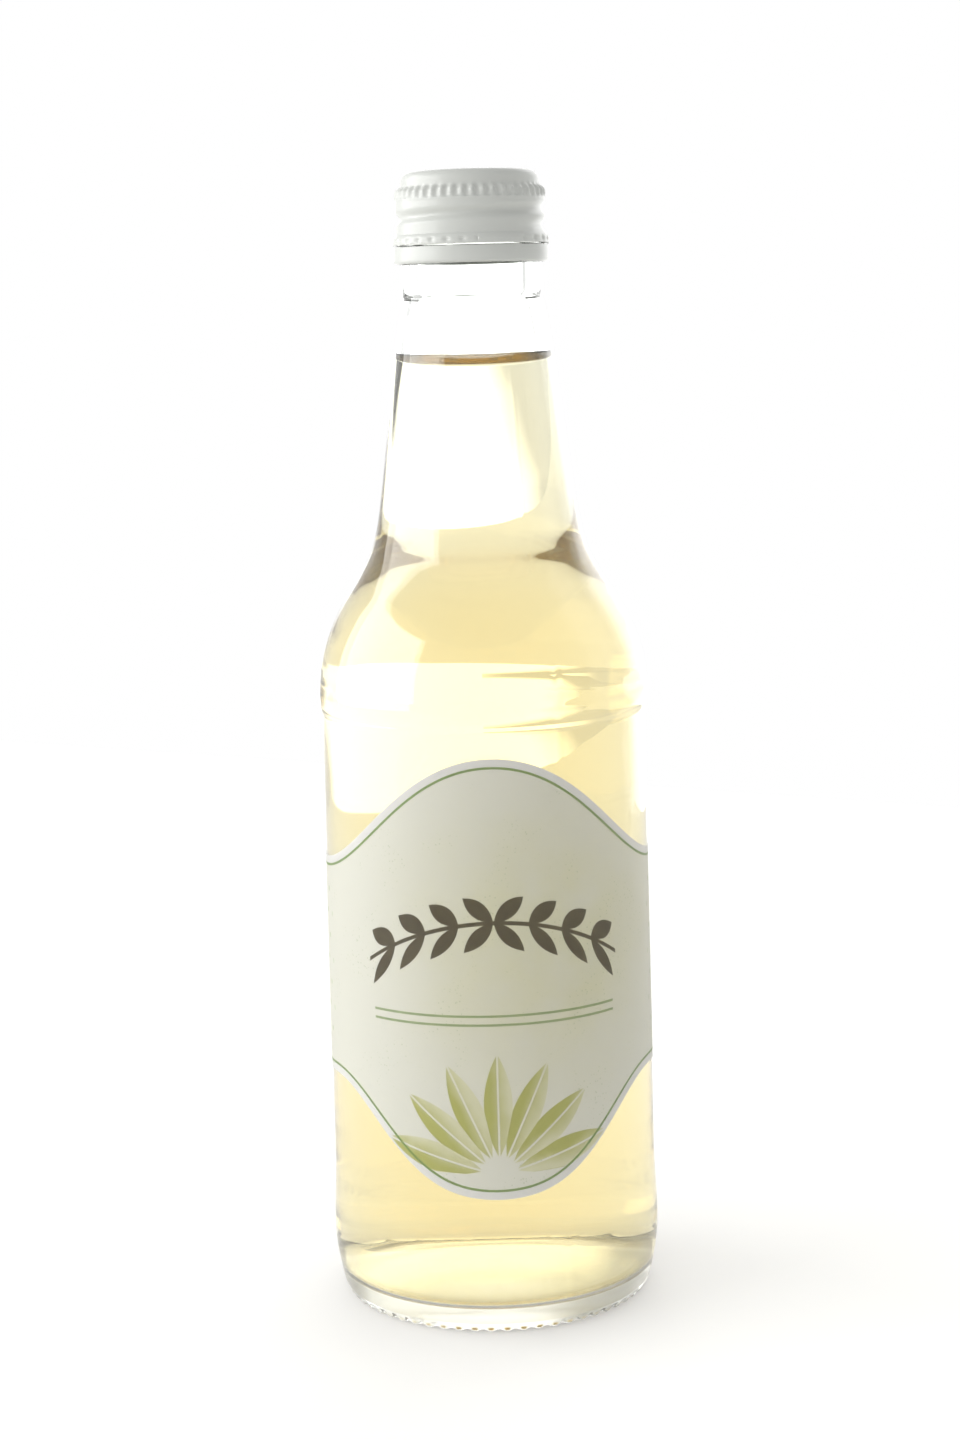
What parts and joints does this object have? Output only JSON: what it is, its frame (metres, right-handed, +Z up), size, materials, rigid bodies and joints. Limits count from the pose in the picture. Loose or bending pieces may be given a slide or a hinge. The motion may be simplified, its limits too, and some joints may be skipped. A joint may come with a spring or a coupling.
{
  "type": "capped glass juice bottle",
  "caption": "Clear glass bottle of pale juice with a long neck, a waved paper wrap and a lacquered screw cap that turns and lifts off its thread.",
  "frame": {"origin": "on the resting plane, under the middle of the bottle", "axes": "+Z up along the bottle's axis, -Y towards the front of the label, +X to its right"},
  "size_m": [0.0616, 0.0616, 0.21],
  "materials": {
    "clear_glass": "polished",
    "straw_juice": "polished",
    "label_paper": "satin",
    "cap_lacquer": "gloss",
    "liner_foam": "matte"
  },
  "bodies": {
    "bottle": {"glass_bottle": "clear_glass", "juice": "straw_juice", "label": "label_paper", "tamper_band": "cap_lacquer"},
    "sealing_disc": {"cap_liner": "liner_foam"},
    "screw_cap": {"cap_shell": "cap_lacquer"}
  },
  "joints": [
    {"name": "cap_lift", "type": "slide", "parent": "bottle", "child": "sealing_disc", "axis": [0, 0, 1], "range_m": [0, 0.00635]},
    {"name": "cap_turn", "type": "hinge", "parent": "sealing_disc", "child": "screw_cap", "pos_m": [0, 0, 0.1963], "axis": [0, 0, 1], "range_deg": [0, 720]}
  ],
  "couplings": [
    {"joint": "cap_lift", "follows": "cap_turn", "m_per_rad": 0.0005053}
  ]
}
